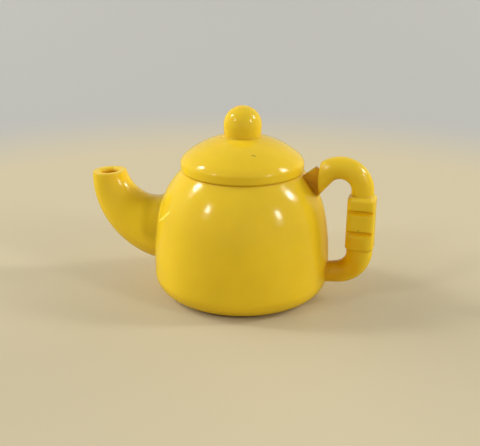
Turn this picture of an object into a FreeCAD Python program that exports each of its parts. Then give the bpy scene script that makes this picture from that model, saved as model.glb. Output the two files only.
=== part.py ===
import FreeCAD, Part
import math
import os

# Toy teapot, one moulding in glossy plastic. Lengths in millimetres, angles in degrees.
# The origin is the centre of the base, on the pot's axis. +Z is up, the handle
# points along +X and the spout along -X.

# Pot
pot_radius = 7.85
foot_radius = 1.95
belly_height = 3.10
side_radius = 20.8
side_turn = 11.8
neck_inset = 2.61
neck_height = 11.24

# Lid form, moulded with the pot
rim_overhang = 0.17
rim_height = 0.83
rim_chamfer = 0.12
ridge_radius = 0.22
ridge_angle = 27.0
crown_edge_radius = 1.63
crown_edge_angle = 51.6
crown_radius = 8.43

# Knob
knob_foot_radius = 1.60
knob_radius = 1.66
knob_stem = 0.98

# Cored underside with a round socket
base_width = 2.95
core_draft = 1.0
core_height = 8.60
core_point_height = 1.20
socket_radius = 2.40
socket_wall = 0.75

# Spout
spout_root_depth = 1.55
spout_root_height = 5.09
spout_root_angle = 5.6
spout_tip_angle = 87.0
spout_straight = 1.64
spout_bend_radius = 5.19
spout_root_radius = 3.30
spout_middle_radius = 2.30
spout_tip_radius = 1.52
spout_hole_radius = 0.80
spout_hole_depth = 2.60
spout_lip_radius = 0.32

# Handle
grip_reach = 2.77
grip_bottom = 4.85
grip_top_drop = 1.49
grip_width_bottom = 2.46
grip_width_top = 2.38
grip_depth = 2.54
grip_corner_radius = 0.72
grip_chamfer = 0.28
slot_first = 1.73
slot_pitch = 1.88
slot_count = 2
slot_mouth = 0.50
slot_floor = 0.14
slot_depth = 0.28
upper_rod_radius = 0.97
upper_rod_gap = 1.70
upper_bend_radius = 1.92
upper_bend_rise = 0.33
upper_bend_turn = 139.5
web_thickness = 0.46
web_top_slope = 39.0
web_overlap = 0.30
lower_rod_radius = 1.20
lower_root_radius = 0.84
lower_bend_radius = 2.08
lower_bend_drop = 0.28
lower_root_slope = 8.3

# Places that follow from the sizes above
neck_radius = pot_radius - neck_inset
rim_radius = neck_radius + rim_overhang
core_mouth_radius = pot_radius - base_width
grip_distance = pot_radius + grip_reach
grip_top = neck_height - grip_top_drop

axis_up = FreeCAD.Vector(0, 0, 1)


def point(x, z):
    return FreeCAD.Vector(x, 0, z)


def direction(angle):
    """Unit vector in the XZ plane, turned from +X towards +Z."""
    turn = math.radians(angle)
    return point(math.cos(turn), math.sin(turn))


def moved(start, angle, distance):
    return start.add(direction(angle).multiply(distance))


def arc_edge(centre, radius, start, end):
    ends = [moved(centre, angle, radius) for angle in (start, (start + end) / 2, end)]
    return Part.Arc(*ends).toShape()


def line_edge(start, end):
    return Part.LineSegment(start, end).toShape()


def turned(edges):
    """Solid of revolution about Z from a closed outline in the XZ plane."""
    face = Part.Face(Part.Wire(edges))
    return face.revolve(point(0, 0), axis_up, 360)


def pot_edges():
    """Outline of the pot from the centre of its base up to the neck."""
    foot_centre = point(pot_radius - foot_radius, foot_radius)
    side_centre = point(pot_radius - side_radius, belly_height)
    side_end = moved(side_centre, side_turn, side_radius)
    neck = point(neck_radius, neck_height)
    # The shoulder leaves the side without a corner and ends at the neck.
    chord = neck.sub(side_end)
    shoulder_radius = -chord.dot(chord) / (2 * chord.dot(direction(side_turn)))
    shoulder_centre = moved(side_end, side_turn, -shoulder_radius)
    reach = neck.sub(shoulder_centre)
    neck_angle = math.degrees(math.atan2(reach.z, reach.x))
    return [
        line_edge(point(0, 0), point(foot_centre.x, 0)),
        arc_edge(foot_centre, foot_radius, -90, 0),
        line_edge(point(pot_radius, foot_radius), point(pot_radius, belly_height)),
        arc_edge(side_centre, side_radius, 0, side_turn),
        arc_edge(shoulder_centre, shoulder_radius, side_turn, neck_angle),
    ]


def lid_edges():
    """Outline of the lid form and its knob, from the neck up to the axis."""
    rim_bottom = point(rim_radius - rim_chamfer, neck_height)
    rim_side = point(rim_radius, neck_height + rim_chamfer)
    ridge_top = neck_height + rim_height
    ridge_rise = ridge_radius * math.sin(math.radians(ridge_angle))
    ridge_centre = point(rim_radius - ridge_radius, ridge_top - ridge_rise)
    ridge_end = moved(ridge_centre, ridge_angle, ridge_radius)
    crown_edge_centre = moved(ridge_end, ridge_angle, -crown_edge_radius)
    crown_start = moved(crown_edge_centre, crown_edge_angle, crown_edge_radius)
    crown_centre = moved(crown_start, crown_edge_angle, -crown_radius)
    crown_end_angle = math.degrees(math.acos((knob_foot_radius - crown_centre.x) / crown_radius))
    knob_foot = moved(crown_centre, crown_end_angle, crown_radius)
    knob_centre = point(0, knob_foot.z + knob_stem)
    return [
        line_edge(point(neck_radius, neck_height), rim_bottom),
        line_edge(rim_bottom, rim_side),
        line_edge(rim_side, point(rim_radius, ridge_centre.z)),
        arc_edge(ridge_centre, ridge_radius, 0, ridge_angle),
        arc_edge(crown_edge_centre, crown_edge_radius, ridge_angle, crown_edge_angle),
        arc_edge(crown_centre, crown_radius, crown_edge_angle, crown_end_angle),
        line_edge(knob_foot, point(knob_radius, knob_centre.z)),
        arc_edge(knob_centre, knob_radius, 0, 90),
        line_edge(point(0, knob_centre.z + knob_radius), point(0, 0)),
    ]


def core():
    """Hollow under the pot, with the wall of the round socket left standing in it."""
    top_radius = core_mouth_radius - core_height * math.tan(math.radians(core_draft))
    top = core_height + core_point_height
    hollow = turned([
        line_edge(point(0, 0), point(core_mouth_radius, 0)),
        line_edge(point(core_mouth_radius, 0), point(top_radius, core_height)),
        line_edge(point(top_radius, core_height), point(0, top)),
        line_edge(point(0, top), point(0, 0)),
    ])
    outer = Part.makeCylinder(socket_radius + socket_wall, top)
    wall = outer.cut(Part.makeCylinder(socket_radius, top))
    return hollow.cut(wall)


def ring(centre, along, radius):
    """Circle about a point, square to the direction along."""
    return Part.Wire(Part.Circle(centre, along, radius).toShape())


def spout_radius(share):
    """Radius at a share of the spout's length, through its root, middle and tip radii."""
    root = spout_root_radius * (1 - share) * (1 - 2 * share)
    middle = spout_middle_radius * 4 * share * (1 - share)
    tip = spout_tip_radius * share * (2 * share - 1)
    return root + middle + tip


def spout():
    """Tapered spout: straight out of the pot, then bent upwards, with a blind hole in its tip."""
    root = point(spout_root_depth - pot_radius, spout_root_height)
    bend_start = moved(root, 180 - spout_root_angle, spout_straight)
    bend_centre = moved(bend_start, 90 - spout_root_angle, spout_bend_radius)
    bend_turn = spout_tip_angle - spout_root_angle
    length = spout_straight + spout_bend_radius * math.radians(bend_turn)
    sections = [ring(root, direction(180 - spout_root_angle), spout_root_radius)]
    steps = 8
    for step in range(steps + 1):
        turn = bend_turn * step / steps
        angle = spout_root_angle + turn
        centre = moved(bend_centre, -90 - angle, spout_bend_radius)
        share = (spout_straight + spout_bend_radius * math.radians(turn)) / length
        sections.append(ring(centre, direction(180 - angle), spout_radius(share)))
    body = Part.makeLoft(sections, True, False)
    tip_along = direction(180 - spout_tip_angle)
    tip = moved(bend_centre, -90 - spout_tip_angle, spout_bend_radius)
    hole_bottom = moved(tip, 180 - spout_tip_angle, -spout_hole_depth)
    hole = Part.makeCylinder(spout_hole_radius, 2 * spout_hole_depth, hole_bottom, tip_along)
    body = body.cut(hole)
    lip_edges = [edge for edge in body.Edges if tip.distanceToPoint(edge.CenterOfMass) < 0.01]
    return body.makeFillet(spout_lip_radius, lip_edges)


def rod(path, start_radius, end_radius):
    """Round rod along joined edges, its radius going from one end's to the other's."""
    spine = Part.Wire(path)
    first = path[0]
    last = path[-1]
    sweep = Part.BRepOffsetAPI.MakePipeShell(spine)
    sweep.add(ring(first.Vertexes[0].Point, first.tangentAt(first.FirstParameter), start_radius))
    sweep.add(ring(last.Vertexes[-1].Point, last.tangentAt(last.LastParameter), end_radius))
    sweep.build()
    sweep.makeSolid()
    return sweep.shape()


def upright_rectangle(width, height):
    """Closed outline of the grip's section about its own axis, at a height."""
    corners = []
    for across, along in ((1, 1), (-1, 1), (-1, -1), (1, -1)):
        corners.append(FreeCAD.Vector(grip_distance + across * width / 2, along * grip_depth / 2, height))
    return Part.makePolygon(corners + corners[:1])


def grip():
    """Thicker upright part of the handle, square with round corners and a little narrower at its top."""
    low = upright_rectangle(grip_width_bottom, grip_bottom)
    high = upright_rectangle(grip_width_top, grip_top)
    bar = Part.makeLoft([low, high], True, True)
    upright = [edge for edge in bar.Edges if edge.BoundBox.ZLength > (grip_top - grip_bottom) / 2]
    bar = bar.makeFillet(grip_corner_radius, upright)
    ends = [face for face in bar.Faces if face.BoundBox.ZLength < grip_chamfer]
    return bar.makeChamfer(grip_chamfer, [edge for face in ends for edge in face.Edges])


def slots():
    """Straight slots across the front and the back of the grip, wider at their mouths."""
    start = grip_distance - grip_width_bottom
    across = FreeCAD.Vector(2 * grip_width_bottom, 0, 0)
    floor_half = slot_floor / 2
    # The flanks go on past the grip's face, as far again as the slot is deep.
    outer_half = slot_mouth - floor_half
    cutters = []
    for number in range(slot_count):
        height = grip_bottom + slot_first + number * slot_pitch
        for side in (-1, 1):
            inner = side * (grip_depth / 2 - slot_depth)
            outer = side * (grip_depth / 2 + slot_depth)
            corners = [
                FreeCAD.Vector(start, inner, height - floor_half),
                FreeCAD.Vector(start, inner, height + floor_half),
                FreeCAD.Vector(start, outer, height + outer_half),
                FreeCAD.Vector(start, outer, height - outer_half),
            ]
            section = Part.Face(Part.makePolygon(corners + corners[:1]))
            cutters.append(section.extrude(across))
    return cutters


def run_to(start, angle, distance):
    """Point on the line from start at an angle, at a distance from the pot's axis."""
    return moved(start, angle, (distance - start.x) / direction(angle).x)


def web(bend_end, run_angle):
    """Thin web that joins the end of the upper rod to the pot, just below the lid."""
    reach = math.sqrt(upper_rod_radius ** 2 - (web_thickness / 2) ** 2)
    inside = run_to(bend_end, run_angle, neck_radius + upper_rod_gap + web_overlap)
    root = run_to(bend_end, run_angle, neck_radius)
    top = moved(inside, upper_bend_turn, reach)
    corners = [
        top,
        run_to(top, 180 + web_top_slope, neck_radius),
        moved(root, upper_bend_turn, -reach),
        moved(inside, upper_bend_turn, -reach),
    ]
    side = Part.Face(Part.makePolygon(corners + corners[:1]))
    side.translate(FreeCAD.Vector(0, -web_thickness / 2, 0))
    return side.extrude(FreeCAD.Vector(0, web_thickness, 0))


def handle():
    """Grip with the bent rods that join it to the pot below the lid and near the base."""
    grip_middle = point(grip_distance, (grip_bottom + grip_top) / 2)
    upper_centre = point(grip_distance - upper_bend_radius, grip_top + upper_bend_rise)
    upper_start = moved(upper_centre, upper_bend_turn, upper_bend_radius)
    upper_angle = upper_bend_turn + 90
    upper = rod([
        line_edge(run_to(upper_start, upper_angle, neck_radius), upper_start),
        arc_edge(upper_centre, upper_bend_radius, upper_bend_turn, 0),
        line_edge(point(grip_distance, upper_centre.z), grip_middle),
    ], upper_rod_radius, upper_rod_radius)
    # The upper rod ends short of the pot, in a face that follows the pot's round.
    upper = upper.cut(Part.makeCylinder(neck_radius + upper_rod_gap, 2 * neck_height))
    lower_centre = point(grip_distance - lower_bend_radius, grip_bottom - lower_bend_drop)
    lower_turn = lower_root_slope - 90
    lower_end = moved(lower_centre, lower_turn, lower_bend_radius)
    wall_middle = pot_radius - base_width / 2
    lower_start = point(grip_distance, grip_bottom + slot_first / 2)
    lower = rod([
        line_edge(lower_start, point(grip_distance, lower_centre.z)),
        arc_edge(lower_centre, lower_bend_radius, 0, lower_turn),
        line_edge(lower_end, run_to(lower_end, lower_turn - 90, wall_middle)),
    ], lower_rod_radius, lower_root_radius)
    return upper.fuse([web(upper_start, upper_angle), grip(), lower]).cut(slots())


def teapot():
    body = turned(pot_edges() + lid_edges())
    whole = body.fuse([spout(), handle()])
    return whole.cut(core())


os.makedirs("parts", exist_ok=True)
shape = teapot()
shape.exportStep("parts/teapot.step")
print("solids", len(shape.Solids), "valid", shape.isValid(), "volume", round(shape.Volume, 2))
box = shape.optimalBoundingBox()
print("size", round(box.XLength, 2), round(box.YLength, 2), round(box.ZLength, 2))
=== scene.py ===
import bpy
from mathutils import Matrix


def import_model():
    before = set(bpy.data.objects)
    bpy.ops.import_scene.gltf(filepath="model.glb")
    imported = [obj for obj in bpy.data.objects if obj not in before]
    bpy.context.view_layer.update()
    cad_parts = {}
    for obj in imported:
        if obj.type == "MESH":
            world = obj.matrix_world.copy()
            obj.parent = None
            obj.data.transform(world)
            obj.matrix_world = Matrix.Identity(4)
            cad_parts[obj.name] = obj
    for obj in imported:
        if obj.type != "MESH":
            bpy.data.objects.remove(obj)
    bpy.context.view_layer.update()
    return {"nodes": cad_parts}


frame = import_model()

import math
import bpy
import bmesh
from mathutils import Matrix, Vector

mm = 0.001
scene = bpy.context.scene


# Shader maths: expressions on sockets build the Math nodes
class Wire:
    def __init__(self, tree, socket):
        self.tree = tree
        self.socket = socket

    def math(self, operation, *inputs):
        node = self.tree.nodes.new("ShaderNodeMath")
        node.operation = operation
        for slot, value in zip(node.inputs, inputs):
            if isinstance(value, Wire):
                self.tree.links.new(value.socket, slot)
            else:
                slot.default_value = value
        return Wire(self.tree, node.outputs[0])

    def __add__(self, other):
        return self.math("ADD", self, other)

    def __radd__(self, other):
        return self.math("ADD", other, self)

    def __sub__(self, other):
        return self.math("SUBTRACT", self, other)

    def __rsub__(self, other):
        return self.math("SUBTRACT", other, self)

    def __mul__(self, other):
        return self.math("MULTIPLY", self, other)

    def __rmul__(self, other):
        return self.math("MULTIPLY", other, self)


class Shader:
    def __init__(self, name):
        self.material = bpy.data.materials.new(name)
        self.material.use_nodes = True
        self.tree = self.material.node_tree
        self.tree.nodes.clear()

    # A socket is named with _ for each space, or by its number as n0, n1 where a node repeats a name
    def node(self, kind, settings=None, output=0, **sockets):
        made = self.tree.nodes.new("ShaderNode" + kind)
        for key, value in (settings or {}).items():
            setattr(made, key, value)
        for key, value in sockets.items():
            number = key[1:]
            slot = made.inputs[int(number) if number.isdigit() else key.replace("_", " ")]
            if isinstance(value, Wire):
                self.tree.links.new(value.socket, slot)
            else:
                slot.default_value = value
        return Wire(self.tree, made.outputs[output])

    def vector(self, operation, output=0, **sockets):
        return self.node("VectorMath", {"operation": operation}, output, **sockets)

    # From one value at start to another at end, slow at both
    def fade(self, value, start, end, atStart=0.0, atEnd=1.0):
        return self.node("MapRange", {"interpolation_type": "SMOOTHSTEP"}, Value=value,
                         From_Min=start, From_Max=end, To_Min=atStart, To_Max=atEnd)

    # Two colours, where a share of 0 is the first: sockets 6 and 7 and output 2 are the node's colours
    def blend(self, share, *colours):
        first, second = (colour if isinstance(colour, Wire) else (*colour, 1) for colour in colours)
        return self.node("Mix", {"data_type": "RGBA"}, 2, n0=share, n6=first, n7=second)

    def finish(self, surface):
        output = self.tree.nodes.new("ShaderNodeOutputMaterial")
        self.tree.links.new(surface.socket, output.inputs["Surface"])
        return self.material


plastic = {
    "colour": (0.80, 0.545, 0.020),
    # Painted shade: the darker orange below is mixed in by ambient occlusion in hollows and creases
    "hollowShadeColour": (0.68, 0.345, 0.001),      # where little light gets in
    "deepReach": 2.8 * mm,
    "hollowShadeFrom": 0.25,
    "hollowShadeTo": 0.85,
    "clouding": 0.05,                        # how far the colour drifts from place to place
    "cloudScale": 170.0,
    "roughness": 0.12,
    "roughnessSpread": 0.05,
    "gloss": 0.30,
    "handlingScale": 900.0,                  # the slight unevenness of a thick moulding
    "handlingStretch": (1.0, 1.0, 0.25),
    "handlingDepth": 0.004 * mm,
    "grainScale": 5200.0,                    # a faint moulded grain
    "grainDepth": 0.0006 * mm,
    "dullSpot": (-8.9, -2.9, 7.6),           # the front of the spout's root shows no gloss
    "dullReach": 3.0 * mm,
    "dullRoughness": 0.6,
    "dullGloss": 0.05,
    "glow": 0.25,                            # light that goes into the plastic and comes out again
    "glowColour": (1.0, 0.45, 0.03),
    "glowDepth": 0.8 * mm,
    "edgeRound": 0.22 * mm,
    "markCore": 0.4,                         # the share of a mark's half width that is at full strength
}

# Marks on the surface: the two ends of each in millimetres, its half width, and how it shows
surfaceMarks = {
    "scratchLow": {
        "ends": ((-6.53, -3.65, 7.01), (-5.87, -4.44, 7.57)), "half": 0.13,
        "tint": (1.0, 0.86, 0.16), "amount": 0.9,
    },
    "scratchHigh": {
        "ends": ((-5.87, -4.44, 7.57), (-5.15, -4.94, 8.32)), "half": 0.12,
        "tint": (1.0, 0.86, 0.16), "amount": 0.9,
    },
    "scratchDot": {
        "ends": ((-6.96, -2.53, 7.33), (-6.93, -2.62, 7.38)), "half": 0.12,
        "tint": (1.0, 0.82, 0.14), "amount": 0.8,
    },
    "lidSpeck": {
        "ends": ((1.68, -3.30, 13.42), (1.93, -3.28, 13.36)), "half": 0.10,
        "tint": (0.40, 0.27, 0.02), "amount": 0.9,
    },
    "gripSpeck": {
        "ends": ((10.53, -1.27, 6.94), (10.56, -1.27, 6.90)), "half": 0.065,
        "tint": (0.22, 0.17, 0.01), "amount": 0.85,
    },
    # Painted light: the wall inside the spout's mouth is coloured bright orange for the light that glows
    # through the plastic there
    "mouthPaintedGlow": {
        "ends": ((-12.53, 0, 8.5), (-12.40, 0, 6.1)), "half": 1.3,
        "tint": (0.97, 0.66, 0.02), "amount": 1.0,
    },
    "rodSpeck": {
        "ends": ((8.13, -0.84, 2.84), (8.15, -0.84, 2.82)), "half": 0.05,
        "tint": (0.25, 0.17, 0.01), "amount": 0.6,
    },
}

# Painted shade: places coloured deeper where shade falls, on this side and mirrored on the far one, given
# in the same way
paintedShadePlaces = {
    # Painted shade in the grip's two slots
    "slotLow": {
        "ends": ((9.3, -1.12, 6.58), (11.9, -1.12, 6.58)), "half": 0.32,
        "tint": (0.82, 0.49, 0.002), "amount": 0.9,
    },
    "slotHigh": {
        "ends": ((9.3, -1.12, 8.46), (11.9, -1.12, 8.46)), "half": 0.32,
        "tint": (0.82, 0.49, 0.002), "amount": 0.9,
    },
    # Painted shade at the spout's root, where the pot keeps the light off
    "spoutRoot": {
        "ends": ((-7.75, -1.1, 7.9), (-7.45, -2.6, 5.9)), "half": 1.6,
        "tint": (0.58, 0.375, 0.006), "amount": 0.85,
    },
    # Painted shade along the lower handle rod and its bend
    "lowerRod": {
        "ends": ((8.6, -0.95, 2.7), (9.8, -1.05, 3.4)), "half": 1.4,
        "tint": (0.76, 0.41, 0.001), "amount": 0.65,
    },
    "lowerBend": {
        "ends": ((9.8, -1.05, 3.4), (10.15, -1.1, 5.4)), "half": 1.3,
        "tint": (0.76, 0.41, 0.001), "amount": 0.6,
    },
}


def mirrored(look):
    return {**look, "ends": [(x, -y, z) for x, y, z in look["ends"]]}


# How much of a mark covers a point: it fades with the distance from the line between the mark's ends
def markCover(shader, place, look):
    start, end = (Vector(spot) * mm for spot in look["ends"])
    half = look["half"] * mm
    line = end - start
    way = line.normalized()
    away = shader.vector("SUBTRACT", n0=place, n1=start)
    along = shader.vector("DOT_PRODUCT", "Value", n0=away, n1=way)
    held = shader.node("Clamp", Value=along, Min=0.0, Max=line.length)
    foot = shader.vector("SCALE", n0=way, Scale=held)
    gap = shader.vector("DISTANCE", "Value", n0=away, n1=foot)
    return shader.fade(gap, half * plastic["markCore"], half, look["amount"], 0.0)


def yellowPlastic():
    shader = Shader("yellow_plastic")
    place = shader.node("TexCoord", output="Object")

    # Colour: painted shade in the hollows, faintly clouded, with the painted shade, the painted glow and
    # the marks on top
    hollows = {"samples": 8, "only_local": True}
    # Painted shade: ambient occlusion blends the colour towards a darker orange where little light gets in
    openness = shader.node("AmbientOcclusion", hollows, "AO", Distance=plastic["deepReach"])
    share = shader.fade(openness, plastic["hollowShadeFrom"], plastic["hollowShadeTo"])
    colour = shader.blend(share, plastic["hollowShadeColour"], plastic["colour"])
    cloud = shader.node("TexNoise", Vector=place, Scale=plastic["cloudScale"], Detail=3.0)
    shade = shader.node("MapRange", Value=cloud, From_Min=0.3, From_Max=0.7,
                        To_Min=1 - plastic["clouding"], To_Max=1 + plastic["clouding"])
    colour = shader.vector("SCALE", n0=colour, Scale=shade)
    # Painted shade at the places above, then the marks, among them the painted glow in the spout's mouth
    for look in [*paintedShadePlaces.values(), *map(mirrored, paintedShadePlaces.values()), *surfaceMarks.values()]:
        colour = shader.blend(markCover(shader, place, look), colour, look["tint"])

    # Gloss: dulled unevenly by handling, and matt at one spot
    stretched = shader.vector("MULTIPLY", n0=place, n1=plastic["handlingStretch"])
    handling = shader.node("TexNoise", Vector=stretched, Scale=plastic["handlingScale"],
                           Detail=5.0, Roughness=0.6)
    spread = plastic["roughnessSpread"]
    roughness = plastic["roughness"] + (handling - 0.5) * spread + (cloud - 0.5) * spread
    reach = shader.vector("DISTANCE", "Value", n0=place, n1=Vector(plastic["dullSpot"]) * mm)
    dull = shader.fade(reach, plastic["dullReach"] / 2, plastic["dullReach"], 1.0, 0.0)

    # Relief, and edges that catch the light
    grain = shader.node("TexNoise", Vector=place, Scale=plastic["grainScale"], Detail=2.0)
    height = grain * plastic["grainDepth"] + handling * plastic["handlingDepth"]
    rounded = shader.node("Bevel", {"samples": 6}, Radius=plastic["edgeRound"])
    relief = shader.node("Bump", Height=height, Distance=1.0, Normal=rounded)

    shared = {
        "Base_Color": colour,
        "Normal": relief,
        "Subsurface_Weight": plastic["glow"],
        "Subsurface_Radius": plastic["glowColour"],
        "Subsurface_Scale": plastic["glowDepth"],
    }
    glossy = shader.node("BsdfPrincipled", Roughness=roughness,
                         Specular_IOR_Level=plastic["gloss"], **shared)
    matt = shader.node("BsdfPrincipled", Roughness=plastic["dullRoughness"],
                       Specular_IOR_Level=plastic["dullGloss"], **shared)
    return shader.finish(shader.node("MixShader", n0=dull, n1=glossy, n2=matt))


# Stage: a plain pale floor, warmer near the teapot and greyer far away
stageLook = {
    "size": 1.2,
    "near": (0.55, 0.475, 0.31),
    "far": (0.42, 0.415, 0.385),
    "nearReach": 0.045,
    "farReach": 0.080,
    "reflected": (0.70, 0.62, 0.38),         # how much of it the teapot's gloss shows
    "roughness": 0.6,
}


def floorMaterial():
    shader = Shader("floor")
    place = shader.node("TexCoord", output="Object")
    reach = shader.vector("LENGTH", "Value", n0=place)
    share = shader.fade(reach, stageLook["nearReach"], stageLook["farReach"])
    colour = shader.blend(share, stageLook["near"], stageLook["far"])
    dimmed = shader.vector("MULTIPLY", n0=colour, n1=stageLook["reflected"])
    colour = shader.blend(shader.node("LightPath", output="Is Glossy Ray"), colour, dimmed)
    return shader.finish(shader.node("BsdfPrincipled", Base_Color=colour, Roughness=stageLook["roughness"]))


def floor():
    mesh = bpy.data.meshes.new("floor")
    shape = bmesh.new()
    bmesh.ops.create_grid(shape, x_segments=1, y_segments=1, size=stageLook["size"] / 2)
    shape.to_mesh(mesh)
    shape.free()
    mesh.materials.append(floorMaterial())
    plate = bpy.data.objects.new("floor", mesh)
    scene.collection.objects.link(plate)


# Lamps: two on each side, each a bright core in a dimmer panel, which the pot and the knob show reflected
# Widths and heights are in millimetres, angles in degrees from the front and from the floor
lampLook = {
    "leftFront": {"azimuth": -42, "elevation": 33, "width": 78, "height": 132, "power": 0.95},
    "leftFrontPanel": {"azimuth": -42, "elevation": 31, "width": 174, "height": 318, "power": 0.36},
    "leftSide": {"azimuth": -89, "elevation": 40, "width": 102, "height": 150, "power": 1.4},
    "leftSidePanel": {"azimuth": -86, "elevation": 37, "width": 150, "height": 285, "power": 0.54},
    "rightFront": {"azimuth": 70, "elevation": 26.5, "width": 78, "height": 132, "power": 1.0},
    "rightFrontPanel": {"azimuth": 69.5, "elevation": 25, "width": 174, "height": 318, "power": 0.4},
    "rightSide": {"azimuth": 108, "elevation": 35, "width": 102, "height": 150, "power": 1.5},
    "rightSidePanel": {"azimuth": 111, "elevation": 36, "width": 150, "height": 345, "power": 0.81},
}
# Fills: wide and soft, they light the plastic but aren't seen reflected in it
fillLook = {
    "leftFill": {"azimuth": -78, "elevation": 32, "width": 900, "height": 660, "power": 2.16},
    "leftLowFill": {"azimuth": -102, "elevation": 18, "width": 900, "height": 360, "power": 5.8},
    "rightFill": {"azimuth": 90, "elevation": 36, "width": 900, "height": 660, "power": 1.65},
    "rightLowFill": {"azimuth": 150, "elevation": 12, "width": 900, "height": 210, "power": 5.5},
    "frontFill": {"azimuth": 50, "elevation": 12, "width": 900, "height": 300, "power": 0.75},
}
lampDistance = 900 * mm
lampTarget = Vector((0, 0, 8 * mm))


def lamp(name, look, reflected):
    data = bpy.data.lights.new(name, "AREA")
    data.shape = "RECTANGLE"
    data.size = look["width"] * mm
    data.size_y = look["height"] * mm
    data.energy = look["power"]
    azimuth = math.radians(look["azimuth"])
    elevation = math.radians(look["elevation"])
    way = Vector((math.sin(azimuth), -math.cos(azimuth), math.tan(elevation))).normalized()
    turn = way.to_track_quat("Z", "Y").to_matrix().to_4x4()
    thing = bpy.data.objects.new(name, data)
    thing.matrix_world = Matrix.Translation(lampTarget + way * lampDistance) @ turn
    thing.visible_glossy = reflected
    scene.collection.objects.link(thing)


# Room: what lights the teapot from all round, and the brighter room that the camera and the gloss see
roomLook = {
    "colour": (1.0, 0.97, 0.91, 1),
    "light": 0.18,
    "seen": 0.55,
}


def world():
    room = bpy.data.worlds.new("room")
    room.use_nodes = True
    tree = room.node_tree
    path = tree.nodes.new("ShaderNodeLightPath")
    rays = ("Is Camera Ray", "Is Glossy Ray", "Is Transmission Ray")
    seen = sum(Wire(tree, path.outputs[ray]) for ray in rays)
    strength = seen * (roomLook["seen"] - roomLook["light"]) + roomLook["light"]
    background = tree.nodes["Background"]
    background.inputs["Color"].default_value = roomLook["colour"]
    tree.links.new(strength.socket, background.inputs["Strength"])
    scene.world = room


# Camera, at the photograph's place and turn
cameraLook = {
    "place": (16.97, -66.47, 30.80),         # millimetres
    "yaw": -14.47,
    "down": 19.75,
    "roll": 0.37,
    "focalPixels": 810,
    "imageWidth": 480,
    "sensor": 36.0,
}


def camera():
    yaw = math.radians(cameraLook["yaw"])
    down = math.radians(cameraLook["down"])
    ahead = Vector((math.sin(yaw), math.cos(yaw), -math.tan(down))).normalized()
    right = Vector((math.cos(yaw), -math.sin(yaw), 0))
    up = right.cross(ahead)
    level = Matrix((right, up, -ahead)).transposed().to_4x4()
    roll = Matrix.Rotation(math.radians(cameraLook["roll"]), 4, "Z")
    data = bpy.data.cameras.new("camera")
    data.sensor_width = cameraLook["sensor"]
    data.lens = cameraLook["focalPixels"] / cameraLook["imageWidth"] * cameraLook["sensor"]
    data.clip_start = 1 * mm
    thing = bpy.data.objects.new("camera", data)
    thing.matrix_world = Matrix.Translation(Vector(cameraLook["place"]) * mm) @ level @ roll
    scene.collection.objects.link(thing)
    scene.camera = thing


scene.view_settings.view_transform = "Standard"
floor()
for looks, reflected in ((lampLook, True), (fillLook, False)):
    for name, look in looks.items():
        lamp(name, look, reflected)
world()
camera()
print("stage, lamps and camera placed")

teapot = frame["nodes"]["teapot"]
teapot.material_slots[0].material = yellowPlastic()
print("materials assigned")
